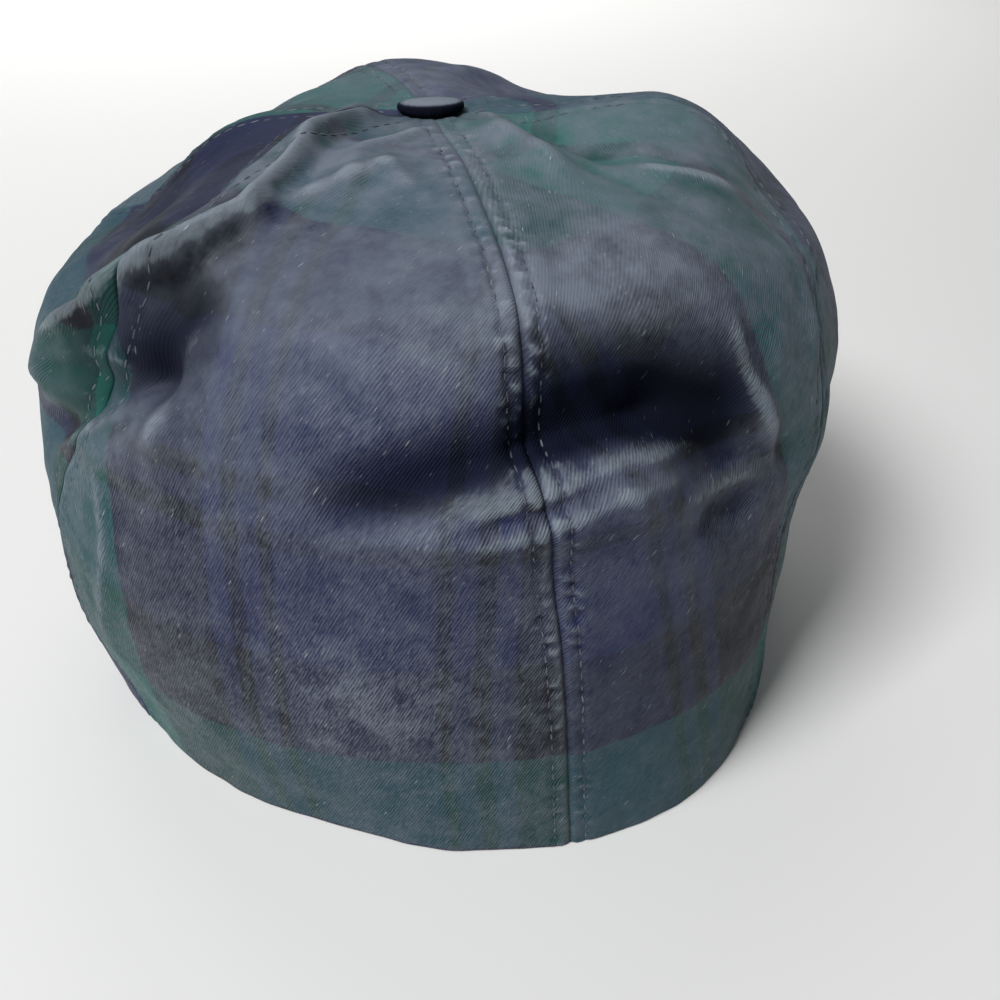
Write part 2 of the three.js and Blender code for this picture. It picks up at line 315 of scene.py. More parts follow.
DARK_PATCHES = [
    # in the same columns: where the cloth is painted darker over the stripes, on the left of the crown
    (-95, 0.78, 28, 0.14, 0.5),
    (-60, 0.57, 8, 0.07, 0.8),
]

RUBBED = [
    # from azimuth, level, to azimuth, level, width as a share of the fold width, and how pale
    (-72, 0.95, -49, 0.82, 0.24, -1.0),
    (-50, 0.84, -43, 0.72, 0.24, -1.0),
    (-43, 0.745, -52, 0.64, 0.24, -0.7),
    (-50, 0.66, -60, 0.59, 0.24, -0.5),
]

# The seams' azimuths at the rim, the wall, the shoulder, the slope and the crown's centre
SEAM_LEVELS = (0, 0.3, 0.55, 0.75, 1)
SEAMS = [
    # azimuths, then how strongly the cloth is drawn in and puckers beside the seam
    ((4, 1, -2, -2, -4), (1.05, 1.35, 1.8, 1.2, 0.5)),
    ((44, 40, 51, 76, 74), (0.8, 0.8, 0.8, 0.6, 0.3)),
    ((120, 120, 120, 122, 122), (0.8, 0.8, 0.8, 0.8, 0.4)),
    ((180, 180, 182, 186, 184), (0.8, 0.8, 0.8, 0.6, 0.4)),
    ((238, 238, 244, 250, 242), (0.8, 0.8, 0.8, 0.7, 0.4)),
    ((290, 286, 303, 307, 289), (1.0, 0.9, 0.6, 0.2, 0.1)),
]
FULL_TURN = 360

PANELS = [
    # name, how far the middle of a navy stripe lies to the right of the panel's middle at the rim, how far
    # the middle of a green one lies above the rim, how much the stripes lean to the left, how steeply the
    # twill's ribs climb to the right, and the wax's bloom
    ("panel_back_right", -19, -3, 13, 50, 0.95),
    ("panel_right", 21, -3, 0, 60, 0.65),
    ("panel_front_right", 0, 85, 0, 60, 0.95),
    ("panel_front_left", -70, -3, 0, 60, 0.8),
    ("panel_left", -167, 85, 12, 60, 0.27),
    ("panel_back_left", 16, -2, -2, 61, 1.0),
]

# The tartan's stripes from one turning point to the other, in small steps
NAVY, BLACK, GREEN = "navy", "black", "green"
SETT = [
    (NAVY, 13), (BLACK, 3), (NAVY, 4), (BLACK, 3), (NAVY, 4), (BLACK, 24), (GREEN, 28),
    (BLACK, 5), (GREEN, 28), (BLACK, 24), (NAVY, 23), (BLACK, 4), (NAVY, 3),
]
SETT_LENGTH = sum(width for _, width in SETT)
STRIPE_STEP = 1.13
GREEN_MIDDLE = sum(width for _, width in SETT[:7]) + SETT[7][1] / 2
YARN_COLORS = {
    NAVY: (0.018, 0.024, 0.073, 1),
    BLACK: (0.005, 0.006, 0.01, 1),
    GREEN: (0.006, 0.1, 0.08, 1),
}
BLOOM_COLOR = (0.139, 0.16, 0.2, 1)
CREST_AND_PAINTED_HIGHLIGHT_COLOR = (0.28, 0.33, 0.36, 1)
LINT_COLOR = (0.5, 0.51, 0.54, 1)
SHEEN_COLOR = (0.62, 0.68, 0.78, 1)
THREAD_COLOR = (0.03, 0.035, 0.052, 1)
RUBBED_THREAD_COLOR = (0.13, 0.145, 0.175, 1)
FLOOR_COLOR = (0.8, 0.79, 0.77, 1)
LAMP_COLOR = (0.97, 0.985, 1)
STUDIO_COLOR = (0.93, 0.95, 1, 1)
STUDIO_STRENGTH = 0.14
FLOOR_ROUGHNESS = 0.8
FLOOR_HALF = 3.0
CLOTH_WAX = 0.46
BUTTON_WAX = 0.3

# Millimetres across and along the twill that one yarn streak, one fleck and one wobble of a rib take up
STREAK_SIZE = (0.42, 3.0)
FLECK_SIZE = (0.4, 1.3)
WOBBLE_SIZE = (9.0, 9.0)
RAGGED_STRIPES = 2.4
LINT = [
    # width and length of a fibre's cell, share of the cells left empty, size of the fibre, strength
    (1.1, 8.0, 0.82, 0.13, 0.5),
    (0.8, 4.0, 0.55, 0.14, 0.28),
]

CAMERA_TURN = 14.5
CAMERA_PITCH = 33.45
CAMERA_PLACE = (-50.9, -255.1, 204.4)
CAMERA_LENS = 40
SENSOR_WIDTH = 36


def smooth(low, high, value):
    """Smooth step from 0 at low to 1 at high."""
    t = np.clip((value - low) / (high - low), 0, 1)
    return t * t * (3 - 2 * t)


def bell(value, middle, width):
    return np.exp(-((value - middle) / width) ** 2)


def turn_between(start, azimuth):
    return (azimuth - start + FULL_TURN / 2) % FULL_TURN - FULL_TURN / 2


def curve_at(xs, ys, x):
    """Smooth curve through the points (xs, ys), read at x."""
    xs, ys = np.asarray(xs, float), np.asarray(ys, float)
    slopes = np.gradient(ys, xs)
    i = np.clip(np.searchsorted(xs, x, side="right") - 1, 0, len(xs) - 2)
    step = xs[i + 1] - xs[i]
    t = (x - xs[i]) / step
    start = 2 * t**3 - 3 * t**2 + 1
    rise = slopes[i] * (t**3 - 2 * t**2 + t) * step
    fall = slopes[i + 1] * (t**3 - t**2) * step
    return start * ys[i] + (1 - start) * ys[i + 1] + rise + fall


def reach_at(level):
    return curve_at(PROFILE[:, 0], PROFILE[:, 1], level)


def radius_at(level):
    return reach_at(level) * MEAN_HALF


MERIDIAN = float(np.hypot(np.diff(PROFILE[:, 1]) * MEAN_HALF, np.diff(PROFILE[:, 2]) * HEIGHT).sum())


def undented_point(azimuth, level):
    angle = np.radians(azimuth)
    reach = reach_at(level)
    lean = np.clip((level - LEAN_START_LEVEL) / (1 - LEAN_START_LEVEL), 0, 1) ** LEAN_POWER
    x = HALF_WIDTH * reach * np.sin(angle)
    y = -HALF_LENGTH * reach * np.cos(angle) + CROWN_LEAN * lean
    z = HEIGHT * curve_at(PROFILE[:, 0], PROFILE[:, 2], level)
    return np.stack([x, y, z], -1)


def normal_of(point_at, azimuth, level):
    """Outward normal, which lies level at the rim so that the rim stays flat."""
    right = point_at(azimuth + NORMAL_AZIMUTH_STEP, level)
    left = point_at(azimuth - NORMAL_AZIMUTH_STEP, level)
    upper = point_at(azimuth, np.minimum(level + NORMAL_LEVEL_STEP, 1))
    lower = point_at(azimuth, np.maximum(level - NORMAL_LEVEL_STEP, 0))
    normal = np.cross(right - left, upper - lower)
    normal /= np.linalg.norm(normal, axis=-1, keepdims=True)
    normal[..., 2] *= np.clip(level / RIM_BLEND_LEVEL, 0, 1)
    return normal / np.linalg.norm(normal, axis=-1, keepdims=True)


def spots_at(rows, azimuth, level):
    """Sum of soft round spots, each of which fades over its swing and its span."""
    total = 0
    for middle, height, swing, span, share in rows:
        across = turn_between(middle, azimuth) / swing
        total = total + share * np.exp(-(across**2) - ((level - height) / span) ** 2)
    return total


def bulge_lift(azimuth, level):
    return BULGE_HEIGHT * spots_at(BULGES, azimuth, level)


def along_and_across(start, end, azimuth, level):
    """Share of the way along a fold's line, and the distance above it, of points on the cloth."""
    per_degree = np.radians(1) * radius_at(level)
    here_x = turn_between(start[0], azimuth) * per_degree
    here_y = (level - start[1]) * MERIDIAN
    line_x = turn_between(start[0], end[0]) * per_degree
    line_y = (end[1] - start[1]) * MERIDIAN
    length = np.hypot(line_x, line_y)
    along = (here_x * line_x + here_y * line_y) / length**2
    return along, (here_y * line_x - here_x * line_y) / length


def fold_lift(rows, azimuth, level):
    """Valleys, or ridges where the depth is negative."""
    lift = 0
    for azimuth_0, level_0, azimuth_1, level_1, width, depth in rows:
        along, across = along_and_across((azimuth_0, level_0), (azimuth_1, level_1), azimuth, level)
        across = across / (width * FOLD_WIDTH)
        lift = lift - depth * FOLD_DEPTH * np.exp(-((2 * along - 1) ** 4) - across**2)
    return lift


def ledge_lift(azimuth, level):
    """Sags whose two sides are of different widths."""
    lift = 0
    for azimuth_0, level_0, azimuth_1, level_1, above, below, depth in LEDGES:
        along, across = along_and_across((azimuth_0, level_0), (azimuth_1, level_1), azimuth, level)
        across = across / FOLD_WIDTH
        across = np.where(across > 0, across / above, across / below)
        lift = lift - depth * FOLD_DEPTH * np.exp(-((2 * along - 1) ** 4) - across**2)
    return lift


def waves(seed, count, shortest, longest, height):
    """Random directions, wave numbers and phases for a gentle ripple in space."""
    rng = np.random.default_rng(seed)
    directions = rng.normal(size=(count, 3))
    directions /= np.linalg.norm(directions, axis=1, keepdims=True)
    lengths = np.exp(rng.uniform(np.log(shortest), np.log(longest), count))
    phases = rng.uniform(0, 2 * np.pi, count)
    heights = height * math.sqrt(2 / count) * lengths / longest
    return directions * (2 * np.pi / lengths)[:, None], phases, heights


SWAGS = waves(seed=11, count=26, shortest=26, longest=70, height=0.85)
CRINKLES = waves(seed=23, count=40, shortest=6, longest=17, height=0.16)


def ripple(wave_set, points):
    numbers, phases, heights = wave_set
    return np.tensordot(np.cos(points @ numbers.T + phases), heights, axes=([-1], [0]))


def calm_at(level):
    edge = BUTTON_RADIUS * CALM_CROWN_SPREAD
    return smooth(BUTTON_RADIUS, edge, radius_at(level))


def fine_lift(azimuth, level):
    """The folds that are too fine for the plain solids."""
    base = undented_point(azimuth, level)
    soft = ripple(SWAGS, base) + ripple(CRINKLES, base)
    pleats = PLEAT_HEIGHT * np.cos(np.radians(azimuth) * PLEATS + PLEAT_TURN)
    pleats = pleats * bell(radius_at(level), PLEAT_RADIUS, PLEAT_SPREAD)
    return calm_at(level) * (fold_lift(CREASES, azimuth, level) + soft) + pleats


def main_lift(azimuth, level):
    folds = fold_lift(FOLDS, azimuth, level) + ledge_lift(azimuth, level)
    return calm_at(level) * (bulge_lift(azimuth, level) + folds)


def lifted_point(azimuth, level, lift):
    azimuth, level = np.broadcast_arrays(np.asarray(azimuth, float), np.asarray(level, float))
    return undented_point(azimuth, level) + normal_of(undented_point, azimuth, level) * lift[..., None]


def cloth_point(azimuth, level):
    """Outer face of the cloth, without what the seams do to it."""
    return lifted_point(azimuth, level, main_lift(azimuth, level) + fine_lift(azimuth, level))


def seam_azimuth(index, level):
    """Azimuth of a seam. The one after the last is the first again, a full turn on."""
    turns, place = divmod(index, len(SEAMS))
    return curve_at(SEAM_LEVELS, SEAMS[place][0], level) + turns * FULL_TURN


def seam_slant(index, level):
    """Cosine of the angle between a seam and the meridian that it crosses."""
    above = seam_azimuth(index, np.minimum(level + SLANT_STEP, 1))
    below = seam_azimuth(index, np.maximum(level - SLANT_STEP, 0))
    sideways = np.radians(above - below) * radius_at(level)
    return 1 / np.hypot(1, sideways / (2 * SLANT_STEP * MERIDIAN))


def pucker_wave(seed, along, beside):
    """Puckers of several lengths along a seam, which tighten and ease on the way."""
    rng = np.random.default_rng(seed)
    puckers = 0
    for length, height in PUCKERS:
        phase = rng.uniform(0, 2 * np.pi)
        skew = rng.uniform(-PUCKER_SKEW, PUCKER_SKEW)
        puckers = puckers + height * np.cos(2 * np.pi * (along + skew * beside) / length + phase)
    gather = GATHERED
    for (length, height), phase in zip(GATHERS, rng.uniform(0, 2 * np.pi, len(GATHERS))):
        gather = gather + height * np.cos(2 * np.pi * along / length + phase)
    return puckers * gather


def seam_lift(beside, level, seed, strengths):
    """What a seam and its topstitching do to the cloth beside them."""
    groove = -GROOVE_DEPTH * bell(beside, 0, GROOVE_WIDTH)
    roll = ROLL_HEIGHT * bell(beside, ROLL_SETBACK, ROLL_WIDTH)
    stitched = -SINK_DEPTH * bell(beside, STITCH_SETBACK, SINK_WIDTH)
    doubled = DOUBLED_HEIGHT * (1 - smooth(ALLOWANCE - 2, ALLOWANCE + 1, beside))
    puckers = PUCKER_HEIGHT * pucker_wave(seed, level * MERIDIAN, beside)
    puckers = puckers * bell(beside, PUCKER_SETBACK, PUCKER_WIDTH)
    return (groove + roll + stitched + doubled + puckers) * curve_at(SEAM_LEVELS, strengths, level)


def to_frame(points):
    """From the cap's own axes in millimetres to the frame in metres."""
    return (np.asarray(points) + FRAME_SHIFT) * MM


def frame_shift():
    """The middle of the button tells where the crown's centre lies in the frame."""
    low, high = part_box("button")
    middle = (low + high) / 2 / MM
    return np.array([middle.x, middle.y - CROWN_LEAN, 0])


FRAME_SHIFT = frame_shift()


def row_alongs():
    """Distances up the panel: close together where the rim is rounded, then evenly to the tip."""
    levels = np.linspace(0.9, 1, 2001)
    tip = levels[np.argmax(radius_at(levels) <= TIP_RADIUS)] * MERIDIAN
    return np.concatenate([RIM_ROWS, np.arange(FIRST_FULL_ROW, tip, ROW_STEP), [tip]])


def column_shares():
    """Shares across the panel, closer together beside the seams."""
    edge = np.linspace(0, EDGE_SHARE, EDGE_COLUMNS)
    middle = np.linspace(EDGE_SHARE, 1 - EDGE_SHARE, MIDDLE_COLUMNS)[1:-1]
    return np.concatenate([edge, middle, 1 - edge[::-1]])


def panel_grid(index):
    """Azimuths and levels of a panel's points, one row of the arrays for each level."""
    level = (row_alongs() / MERIDIAN)[:, None]
    half_gap = np.degrees(SEAM_GAP / 2 / radius_at(level))
    first = seam_azimuth(index, level) + half_gap
    second = seam_azimuth(index + 1, level) - half_gap
    azimuth = first + (second - first) * column_shares()[None, :]
    return azimuth, np.broadcast_to(level, azimuth.shape)


def beside_seams(index, azimuth, level):
    """Distance of each point from the panel's first and second seam."""
    per_degree = np.radians(radius_at(level))
    first = (azimuth - seam_azimuth(index, level)) * per_degree * seam_slant(index, level)
    second = (seam_azimuth(index + 1, level) - azimuth) * per_degree * seam_slant(index + 1, level)
    return first, second


def panel_lift(index, azimuth, level):
    """Relief from the nearer of the panel's two seams."""
    first, second = beside_seams(index, azimuth, level)
    after = (index + 1) % len(SEAMS)
    by_first = seam_lift(first, level, 100 + 2 * index, SEAMS[index][1])
    by_second = seam_lift(second, level, 101 + 2 * after, SEAMS[after][1])
    return np.where(first < second, by_first, by_second), np.minimum(first, second)


def rim_inset(along):
    """How far each face of the cloth turns in at the rounded rim."""
    left = np.clip(RIM_ROUND - along, 0, RIM_ROUND)
    return RIM_ROUND - np.sqrt(RIM_ROUND**2 - left**2)


def inner_depth(beside, along):
    """Thickness of the wall, with the seam allowances and the hem lying on the inside."""
    allowance = ALLOWANCE_THICKNESS * (1 - smooth(ALLOWANCE, ALLOWANCE + LAYER_EDGE, beside))
    hem = HEM_THICKNESS * (1 - smooth(HEM_DEPTH, HEM_DEPTH + LAYER_EDGE, along))
    return CLOTH + np.maximum(allowance, hem) * smooth(0, RIM_TAPER, along)


def blurred(field, reach):
    """The field averaged over a bell of this many rows and columns."""
    offsets = np.arange(-3 * reach, 3 * reach + 1)
    weights = np.exp(-((offsets / reach) ** 2))
    weights /= weights.sum()
    for axis in (0, 1):
        count = field.shape[axis]
        before = np.repeat(np.take(field, [0], axis), 3 * reach, axis)
        after = np.repeat(np.take(field, [-1], axis), 3 * reach, axis)
        padded = np.concatenate([before, field, after], axis)
        field = sum(weight * np.take(padded, range(i, i + count), axis) for i, weight in enumerate(weights))
    return field


def quads(*corners):
    return np.stack(corners, -1).reshape(-1, 4)


def sheet_faces(rows, columns):
    """Faces of a closed sheet whose outer points come first and whose inner points follow."""
    outer = np.arange(rows * columns).reshape(rows, columns)
    inner = outer + rows * columns
    return np.concatenate([
        quads(outer[:-1, :-1], outer[:-1, 1:], outer[1:, 1:], outer[1:, :-1]),
        quads(inner[1:, :-1], inner[1:, 1:], inner[:-1, 1:], inner[:-1, :-1]),
        quads(outer[0, :-1], inner[0, :-1], inner[0, 1:], outer[0, 1:]),
        quads(outer[-1, 1:], inner[-1, 1:], inner[-1, :-1], outer[-1, :-1]),
        quads(outer[1:, 0], inner[1:, 0], inner[:-1, 0], outer[:-1, 0]),
        quads(outer[:-1, -1], inner[:-1, -1], inner[1:, -1], outer[1:, -1]),
    ])


def mesh_object(name, points, faces):
    mesh = bpy.data.meshes.new(name)
    mesh.from_pydata([tuple(p) for p in points], [], [tuple(int(i) for i in f) for f in faces])
    mesh.update()
    mesh.polygons.foreach_set("use_smooth", np.ones(len(mesh.polygons), bool))
    piece = bpy.data.objects.new(name, mesh)
    bpy.context.scene.collection.objects.link(piece)
    return piece


def set_uv(piece, name, values):
    layer = piece.data.uv_layers.new(name=name)
    corners = np.empty(len(piece.data.loops), int)
    piece.data.loops.foreach_get("vertex_index", corners)
    layer.data.foreach_set("uv", np.asarray(values, np.float32)[corners].ravel())


def set_floats(piece, name, values):
    attribute = piece.data.attributes.new(name, "FLOAT", "POINT")
    attribute.data.foreach_set("value", np.asarray(values, np.float32).ravel())


def thread_distances(cloth):
    """Distances over the folded cloth, sideways from the rim's middle and upwards from the rim."""
    row_way = np.gradient(cloth, axis=1)
    row_way /= np.linalg.norm(row_way, axis=-1, keepdims=True)
    step = np.diff(cloth, axis=0)
    sideways = (step * row_way[:-1]).sum(-1)
    upward = np.sqrt((step**2).sum(-1) - sideways**2)
    up = np.pad(np.cumsum(upward, axis=0), ((1, 0), (0, 0)))
    middle = cloth.shape[1] // 2
    drift = np.pad(np.cumsum(sideways[:, middle]), (1, 0))
    widths = np.linalg.norm(np.diff(cloth, axis=1), axis=-1)
    across = np.pad(np.cumsum(widths, axis=1), ((0, 0), (1, 0)))
    return across - across[:, middle:middle + 1] + drift[:, None], up


def rib_distances(across, up, climb):
    """Distances across and along the twill's ribs, which climb to the right."""
    sine = math.sin(math.radians(climb))
    cosine = math.cos(math.radians(climb))
    return up * cosine - across * sine, across * cosine + up * sine


def set_threads(piece, x, y, name, sides):
    """Stores distances over the cloth as a UV map, the same for each side of it."""
    values = np.stack([np.ravel(x), np.ravel(y)], -1) * UV_SCALE
    set_uv(piece, name, np.concatenate([values] * sides))


def lay_threads(piece, index, azimuth, level):
    """Stores where each point lies in the tartan's stripes and on the twill's ribs."""
    _, navy_place, green_rise, lean, climb, _ = PANELS[index]
    across, up = thread_distances(lifted_point(azimuth, level, main_lift(azimuth, level)))
    leaned = across + np.tan(np.radians(lean)) * up
    set_threads(piece, leaned - navy_place, up - green_rise, "cloth", 2)
    set_threads(piece, *rib_distances(across, up, climb), "ribs", 2)


def crest_share(azimuth, level, lift):
    """How far the cloth stands out of what surrounds it, so that it rubs pale, and how far it sinks, where
    it is painted darker as painted shade.
    """
    folds = calm_at(level) * (fold_lift(FOLDS, azimuth, level) + ledge_lift(azimuth, level))
    relief = lift + fine_lift(azimuth, level)
    crest_wear_and_painted_light = (relief - blurred(relief, FINE_CREST_REACH)) * FINE_CREST_GAIN
    crest_wear_and_painted_light = crest_wear_and_painted_light + (folds - blurred(folds, BROAD_CREST_REACH)) * BROAD_CREST_GAIN
    crest_wear_and_painted_light = crest_wear_and_painted_light * (1 + CROWN_CREST_GAIN * smooth(*CROWN_CREST_LEVELS, level))
    return np.clip(crest_wear_and_painted_light + RUBBED_GAIN * fold_lift(RUBBED, azimuth, level), LOWEST_CREST, 1)


def weave_share(azimuth, level):
    """How clearly the twill shows: faintly on the crown, the left ridge and the dent's right lip."""
    crown = 1 - 0.75 * smooth(0.53, 0.67, level)
    left_ridge = 1 - 0.92 * bell(turn_between(-58, azimuth), 0, 22) * smooth(0.42, 0.5, level)
    right_lip = 1 - 0.75 * bell(turn_between(22, azimuth), 0, 18) * bell(level, 0.49, 0.06)
    return crown * left_ridge * right_lip


def painted_shade_and_dark_share(azimuth, level):
    """How dark the cloth is painted: painted shade where it sags sharply, and darker patches on the left of
    the crown.
    """
    sag_shade = np.clip(-ledge_lift(azimuth, level) / PAINTED_SHADE_SAG - PAINTED_SHADE_START, 0, 1)
    return np.clip(sag_shade + spots_at(DARK_PATCHES, azimuth, level), 0, 1)


def set_sides(piece, name, outer, inner):
    """Stores a share for the points of a sheet's outer side and of its inner side."""
    set_floats(piece, name, np.concatenate([outer.ravel(), inner.ravel()]))


def note_finish(piece, index, azimuth, level, lift, normal):
    """Stores what the waxed cloth's material reads from the form of the panel, among it painted shade in
    the valleys and sags and painted light where the cloth faces up.
    """
    none = np.zeros_like(level)
    weave = weave_share(azimuth, level)
    bloom = np.clip(PANELS[index][-1] * (1 + spots_at(WEAR, azimuth, level)), 0, FULL_BLOOM)
    # worn crests, with painted shade in the valleys
    set_sides(piece, "crest_wear_and_painted_light", crest_share(azimuth, level, lift), none)
    set_sides(piece, "weave", weave, weave)
    # painted shade in the sags, and the darker patches, on the outer side only
    set_sides(piece, "painted_shade_and_dark_patches", painted_shade_and_dark_share(azimuth, level), none)
    # painted light: up-facing cloth is marked, so that its bloom is drawn paler as if lit from above
    set_sides(piece, "upward", np.clip(normal[..., 2], 0, 1), none)
    # the inner face is marked to be drawn darker
    set_sides(piece, "inside_and_painted_shade", none, none + 1)
    set_sides(piece, "bloom", bloom, bloom)


def make_panel(index, material):
    """A closed sheet of cloth between two seams, thicker where its edges are turned in."""
    name = PANELS[index][0]
    azimuth, level = panel_grid(index)
    along = level * MERIDIAN
    lift, beside = panel_lift(index, azimuth, level)
    cloth = cloth_point(azimuth, level)
    normal = normal_of(cloth_point, azimuth, level)
    inset = rim_inset(along)
    outer = cloth + normal * (lift - inset)[..., None]
    inner = cloth - normal * (inner_depth(beside, along) - inset)[..., None]
    outer[0, :, 2] = 0
    inner[0, :, 2] = 0
    points = to_frame(np.concatenate([outer.reshape(-1, 3), inner.reshape(-1, 3)]))
    piece = mesh_object("cloth_" + name, points, sheet_faces(*azimuth.shape))
    lay_threads(piece, index, azimuth, level)
    note_finish(piece, index, azimuth, level, lift, normal)
    piece.data.materials.append(material)
    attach(piece, "root")
    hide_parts(name)
    return piece


class Graph:
    """Small helper that adds and links a node tree's nodes."""

    def __init__(self, tree):
        self.tree = tree

    def add(self, kind, inputs=None, **settings):
        node = self.tree.nodes.new(kind)
        for key, value in settings.items():
            setattr(node, key, value)
        for key, value in (inputs or {}).items():
            self.feed(node.inputs[key], value)
        return node

    def feed(self, socket, value):
        if isinstance(value, bpy.types.NodeSocket):
            self.tree.links.new(value, socket)
        else:
            socket.default_value = value

    def math(self, operation, *values, clamp=False):
        node = self.add("ShaderNodeMath", operation=operation, use_clamp=clamp)
        for i, value in enumerate(values):
            self.feed(node.inputs[i], value)
        return node.outputs[0]

    def mix(self, share, first, second, blend="MIX"):
        node = self.add("ShaderNodeMix", data_type="RGBA", blend_type=blend)
        self.feed(node.inputs["Factor"], share)
        self.feed(node.inputs[6], first)
        self.feed(node.inputs[7], second)
        return node.outputs[2]

    def remap(self, value, low, high, to_low=0.0, to_high=1.0):
        node = self.add("ShaderNodeMapRange", {"Value": value, "From Min": low, "From Max": high,
                                               "To Min": to_low, "To Max": to_high})
        return node.outputs[0]

    def noise(self, place, scale, detail=2.0, roughness=0.5):
        node = self.add("ShaderNodeTexNoise", {"Vector": place, "Scale": scale, "Detail": detail,
                                               "Roughness": roughness})
        return node.outputs["Fac"]

    def join(self, x, y, z=0.0):
        return self.add("ShaderNodeCombineXYZ", {"X": x, "Y": y, "Z": z}).outputs[0]


def stripe_ramp(graph, distance):
    """The yarn's colour at a distance across the sett, which turns back at both ends."""
    folded = graph.math("PINGPONG", distance, float(SETT_LENGTH))
    ramp = graph.add("ShaderNodeValToRGB", {"Fac": graph.math("DIVIDE", folded, float(SETT_LENGTH))})
    ramp.color_ramp.interpolation = "CONSTANT"
    elements = ramp.color_ramp.elements
    elements.remove(elements[1])
    start = 0
    for i, (yarn, width) in enumerate(SETT):
        element = elements[0] if i == 0 else elements.new(start / SETT_LENGTH)
        element.color = YARN_COLORS[yarn]
        start += width
    return ramp.outputs["Color"]


def thread_places(graph, name):
    """The distances over the cloth, in millimetres, that a UV map holds."""
    uv = graph.add("ShaderNodeUVMap", uv_map=name).outputs[0]
    flat = graph.add("ShaderNodeSeparateXYZ", {0: uv})
    return [graph.math("DIVIDE", flat.outputs[i], UV_SCALE) for i in (0, 1)]


def cells(graph, across, along, size, layer=0.0):
    """Places for a pattern whose features are this wide and long."""
    return graph.join(graph.math("DIVIDE", across, size[0]), graph.math("DIVIDE", along, size[1]), layer)


def dashes(graph, across, along, width, length, rarity, size, strength):
    """Short pale fibres along the twill, each in a cell of its own."""
    place = cells(graph, across, along, (width, length))
    voronoi = graph.add("ShaderNodeTexVoronoi", {"Vector": place, "Scale": 1.0})
    chance = graph.add("ShaderNodeSeparateColor", {0: voronoi.outputs["Color"]}).outputs[0]
    chosen = graph.math("GREATER_THAN", chance, rarity)
    dash = graph.remap(voronoi.outputs["Distance"], size, size * 0.6, 0.0, strength)
    return graph.math("MULTIPLY", chosen, dash)


def stored(graph, name):
    """A share that is stored on the piece's points."""
    return graph.add("ShaderNodeAttribute", attribute_name=name).outputs["Fac"]


def twill(graph, x, y, across, along):
    """The twill's ribs as a wave, and the noises of its yarns: long streaks and short flecks."""
    wobble = graph.noise(cells(graph, x, y, WOBBLE_SIZE), 1.0)
    turns = graph.math("DIVIDE", across, TWILL_PITCH)
    turns = graph.math("ADD", turns, graph.math("MULTIPLY", wobble, 0.5))
    rib = graph.math("SINE", graph.math("MULTIPLY", turns, 2 * math.pi))
    streak = graph.noise(cells(graph, across, along, STREAK_SIZE), 1.0, detail=3.0, roughness=0.62)
    fleck = graph.noise(cells(graph, across, along, FLECK_SIZE, 7.0), 1.0, detail=2.0, roughness=0.6)
    return rib, streak, fleck


def tartan(graph, x, y, rib, fleck):
    """Colours of the warp and the weft, which mix rib by rib and have ragged edges."""
    ragged = graph.math("MULTIPLY", graph.math("SUBTRACT", fleck, 0.5), RAGGED_STRIPES)
    warp = stripe_ramp(graph, graph.math("DIVIDE", graph.math("ADD", x, ragged), STRIPE_STEP))
    weft_place = graph.math("DIVIDE", graph.math("ADD", y, ragged), STRIPE_STEP)
    weft = stripe_ramp(graph, graph.math("ADD", weft_place, float(GREEN_MIDDLE)))
    weft_share = graph.math("ADD", 0.45, graph.math("MULTIPLY", rib, 0.3))
    return graph.mix(weft_share, warp, weft)


def wax_bloom(graph, wax, solid, smudges, rib, streak, fleck, crest_wear_and_painted_light, unshaded_share):
    """The wax's dull bloom lies in patches and thick on worn crests; it is painted thin in the valleys and
    in the painted shade, and thicker on up-facing cloth as painted light.
    """
    patches = graph.noise(solid, 34.0, detail=4.0, roughness=0.6)
    rubbing = graph.noise(solid, 260.0, detail=3.0, roughness=0.6)
    bloom = graph.remap(patches, 0.3, 0.72, wax * 0.5, wax * 1.3)
    # painted light: the bloom is thicker on cloth that faces up and thinner on the walls
    bloom = graph.math("MULTIPLY", bloom, graph.math("MULTIPLY_ADD", stored(graph, "upward"), 0.75, 0.6))
    bloom = graph.math("ADD", bloom, graph.remap(smudges, 0.3, 0.75, -0.15, 0.19))
    bloom = graph.math("ADD", bloom, graph.remap(rubbing, 0.35, 0.72, -0.06, 0.11))
    weave = graph.math("ADD", graph.remap(streak, 0.3, 0.72, -0.26, 0.3), graph.math("MULTIPLY", rib, 0.13))
    weave = graph.math("ADD", weave, graph.remap(fleck, 0.3, 0.7, -0.1, 0.1))
    bloom = graph.math("ADD", bloom, graph.math("MULTIPLY", weave, stored(graph, "weave")))
    # pale on worn crests, and painted shade in the valleys
    bloom = graph.math("ADD", bloom, graph.math("MULTIPLY", crest_wear_and_painted_light, 0.3))
    # painted shade thins the bloom
    bloom = graph.math("MULTIPLY", bloom, unshaded_share)
    return graph.math("MULTIPLY", bloom, stored(graph, "bloom"), clamp=True)


def cloth_bump(graph, rib, streak, fleck, lint):
    height = graph.math("MULTIPLY", rib, 0.3)
    height = graph.math("ADD", height, graph.math("MULTIPLY", streak, 1.2))
    height = graph.math("ADD", height, graph.math("MULTIPLY", fleck, 0.8))
    height = graph.math("MULTIPLY", height, stored(graph, "weave"))
    height = graph.math("ADD", height, graph.math("MULTIPLY", lint, 1.2))
    bump = graph.add("ShaderNodeBump", {"Height": height, "Distance": 0.2 * MM, "Strength": 0.9})
    return bump.outputs[0]


def new_graph(name):
    """A new material and a helper that fills its empty node tree."""
    material = bpy.data.materials.new(name)
    material.use_nodes = True
    material.node_tree.nodes.clear()
    return material, Graph(material.node_tree)


def finish_graph(graph, inputs):
    shader = graph.add("ShaderNodeBsdfPrincipled", inputs)
    graph.add("ShaderNodeOutputMaterial", {"Surface": shader.outputs[0]})


